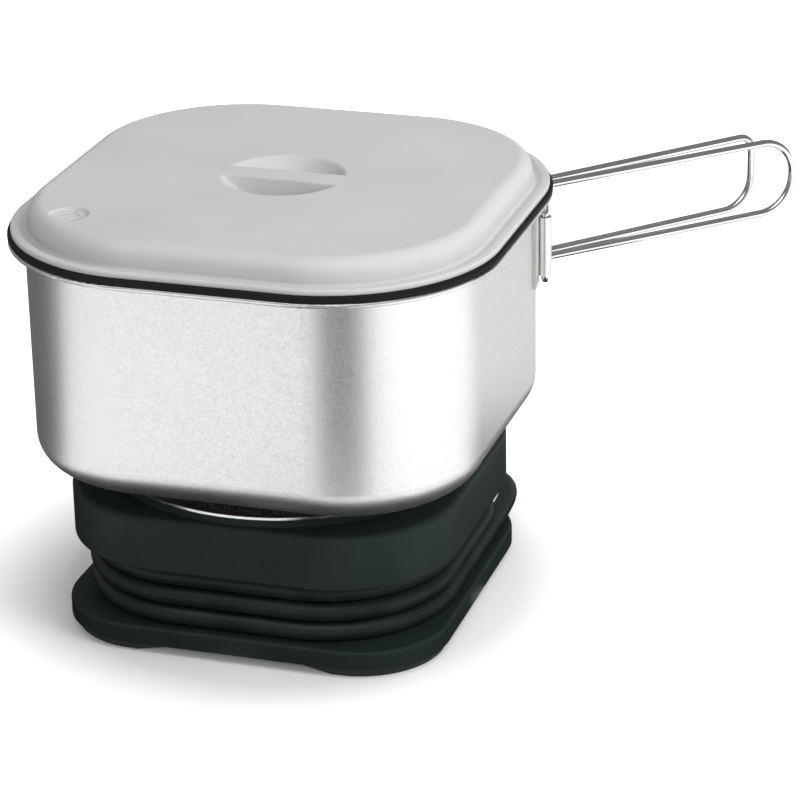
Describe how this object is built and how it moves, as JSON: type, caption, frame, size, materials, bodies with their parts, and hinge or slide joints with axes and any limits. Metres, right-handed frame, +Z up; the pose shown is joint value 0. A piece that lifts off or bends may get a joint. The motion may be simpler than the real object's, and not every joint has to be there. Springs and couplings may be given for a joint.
{
  "type": "travel cooker with hot plate base",
  "caption": "Compact electric hot plate base with its mains cord wound round the waist, carrying a square steel pot with a folding wire handle and a lid.",
  "frame": {"origin": "on the table, under the middle of the base, in the plane of the feet", "axes": "+Z up, -Y the front face, +X the right face; the handle points over the +X +Y corner"},
  "size_m": [0.2147, 0.2112, 0.1396],
  "materials": {
    "housing_black": "fine matte moulding",
    "inner_plastic": "plain moulding",
    "foot_rubber": "matte",
    "cord_rubber": "satin",
    "seal_rubber": "satin",
    "pot_steel": "satin pressed sheet",
    "wire_steel": "polished drawn wire",
    "bracket_steel": "polished sheet",
    "pan_steel": "bright sheet",
    "plate_metal": "dark coated casting",
    "element_metal": "oxidised sheath",
    "fixing_steel": "zinc plated",
    "ceramic": "unglazed",
    "lid_plastic": "satin moulding, warm grey",
    "dial_plastic": "satin",
    "lamp_red": "clear red",
    "lead_sleeve": "braided sleeve",
    "blade_brass": "bright",
    "fuse_metal": "bright"
  },
  "bodies": {
    "base": {"lower_housing": "housing_black", "upper_housing": "housing_black", "service_cover": "housing_black", "foot_back_right": "foot_rubber", "foot_back_left": "foot_rubber", "foot_front_left": "foot_rubber", "foot_front_right": "foot_rubber", "cover_screws": "fixing_steel", "housing_screws": "fixing_steel", "heat_pan": "pan_steel", "hot_plate": "plate_metal", "heating_element": "element_metal", "ceramic_beads": "ceramic", "plate_stud": "fixing_steel", "spacer_sleeve": "fixing_steel", "stud_nut": "fixing_steel", "thermostat_body": "ceramic", "thermostat_sensor": "fuse_metal", "lamp_lens": "lamp_red", "lamp_body": "inner_plastic", "terminal_block": "inner_plastic", "terminal_screws": "fixing_steel", "thermal_fuse": "fuse_metal", "fuse_clip": "fixing_steel", "lead_live": "lead_sleeve", "lead_neutral": "lead_sleeve", "lead_fuse": "lead_sleeve", "lead_heater": "lead_sleeve", "cord_core": "lead_sleeve", "cord_bush": "cord_rubber", "cord_winding": "cord_rubber", "cord_tail": "cord_rubber", "plug_body": "cord_rubber", "plug_blades": "blade_brass"},
    "dial": {"control_dial": "dial_plastic", "thermostat_shaft": "fixing_steel"},
    "pot": {"pot_shell": "pot_steel", "handle_bracket": "bracket_steel", "bracket_rivets": "bracket_steel"},
    "handle_near": {"handle_loop_near": "wire_steel"},
    "handle_far": {"handle_loop_far": "wire_steel"},
    "lid": {"lid_cover": "lid_plastic", "lid_seal": "seal_rubber"}
  },
  "joints": [
    {"name": "pot_lift", "type": "slide", "parent": "base", "child": "pot", "axis": [0, 0, 1], "range_m": [0, 0.08]},
    {"name": "lid_lift", "type": "slide", "parent": "pot", "child": "lid", "axis": [0, 0, 1], "range_m": [0, 0.08]},
    {"name": "near_fold", "type": "hinge", "parent": "pot", "child": "handle_near", "pos_m": [0.073, 0.04142, 0.1084], "axis": [0, 0, 1], "range_deg": [-140, 0]},
    {"name": "far_fold", "type": "hinge", "parent": "pot", "child": "handle_far", "pos_m": [0.04142, 0.073, 0.1084], "axis": [0, 0, 1], "range_deg": [0, 140]},
    {"name": "dial_turn", "type": "hinge", "parent": "base", "child": "dial", "pos_m": [0, 0.063, 0.036], "axis": [0, 1, 0], "range_deg": [0, 270]}
  ]
}
